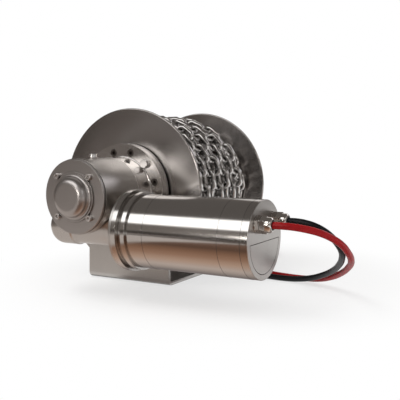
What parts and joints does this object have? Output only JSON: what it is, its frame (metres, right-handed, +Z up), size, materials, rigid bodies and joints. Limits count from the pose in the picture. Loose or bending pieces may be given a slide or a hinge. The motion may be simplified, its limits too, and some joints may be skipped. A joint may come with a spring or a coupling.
{
  "type": "drum anchor winch",
  "caption": "Electric drum winch for an anchor chain: flanged chain drum in a bent cradle, worm gearbox with bolted neck, round motor with gland-sealed cable leads.",
  "frame": {"origin": "centre of the base bolt pattern, on the underside of the cradle base", "axes": "+X along the motor away from the gearbox, +Y along the drum axis away from the gearbox, +Z up"},
  "size_m": [0.65, 0.5842, 0.3035],
  "materials": {
    "cradle_steel": "satin bead-blasted stainless steel",
    "polished_steel": "polished stainless steel",
    "housing_steel": "satin bead-blasted",
    "cover_steel": "satin turned",
    "screw_steel": "polished",
    "hidden_steel": "machined",
    "chain_steel": "polished stainless steel",
    "chain_dark": "shaded lower turns of the chain",
    "bronze": "machined bronze",
    "copper": "enamelled copper",
    "magnet": "matt",
    "laminations": "stacked steel sheet",
    "carbon": "carbon",
    "brush_board": "phenolic board",
    "gland_nickel": "nickel plated",
    "black_rubber": "rubber",
    "gasket": "fibre gasket",
    "red_jacket": "satin PVC",
    "black_jacket": "satin PVC",
    "tinned_copper": "tinned"
  },
  "bodies": {
    "frame": {"cradle": "cradle_steel", "bearing_neck": "polished_steel", "ring_screws": "screw_steel", "ring_hex_bolt": "screw_steel", "gear_housing": "housing_steel", "neck_screws": "screw_steel", "filler_plug": "screw_steel", "gearbox_cover": "cover_steel", "cover_gasket": "gasket", "cover_screws": "screw_steel", "shaft_bearing_outers": "hidden_steel", "shaft_bearing_balls": "screw_steel", "shaft_seal": "black_rubber", "far_bearing_housing": "housing_steel", "far_bush": "bronze", "far_housing_screws": "screw_steel", "worm_bearing_outers": "hidden_steel", "worm_bearing_balls": "screw_steel", "worm_seal": "black_rubber", "motor_adapter": "polished_steel", "adapter_screws": "screw_steel", "motor_front_bell": "polished_steel", "motor_tube": "polished_steel", "motor_rear_bell": "polished_steel", "motor_end_cap": "polished_steel", "motor_magnets": "magnet", "brush_holder": "brush_board", "brushes": "carbon", "motor_bearings": "hidden_steel", "through_bolts": "hidden_steel", "gland_bodies": "gland_nickel", "gland_nuts": "gland_nickel", "gland_seals": "black_rubber", "red_cable": "red_jacket", "black_cable": "black_jacket", "red_cable_coil": "red_jacket", "black_cable_coil": "black_jacket", "red_lug": "tinned_copper", "black_lug": "tinned_copper"},
    "drum": {"worm_wheel": "bronze", "wheel_key": "hidden_steel", "wheel_nut": "hidden_steel", "drum_shaft": "hidden_steel", "shaft_bearing_inners": "hidden_steel", "near_flange": "polished_steel", "far_flange": "polished_steel", "drum_barrel": "polished_steel", "drum_hubs": "hidden_steel", "drum_keys": "hidden_steel", "chain_lower_turns": "chain_dark", "chain_open_turns": "chain_steel", "chain_top_turn": "chain_steel"},
    "rotor": {"worm": "hidden_steel", "worm_bearing_inners": "hidden_steel", "shaft_coupling": "hidden_steel", "motor_shaft": "hidden_steel", "armature_core": "laminations", "armature_windings": "copper", "commutator": "copper"}
  },
  "joints": [
    {"name": "drum_spin", "type": "hinge", "parent": "frame", "child": "drum", "pos_m": [0, 0, 0.1595], "axis": [0, 1, 0], "continuous": true},
    {"name": "rotor_spin", "type": "hinge", "parent": "frame", "child": "rotor", "pos_m": [0, -0.2265, 0.1075], "axis": [1, 0, 0], "continuous": true}
  ],
  "couplings": [
    {"joint": "rotor_spin", "follows": "drum_spin", "ratio": 40}
  ]
}
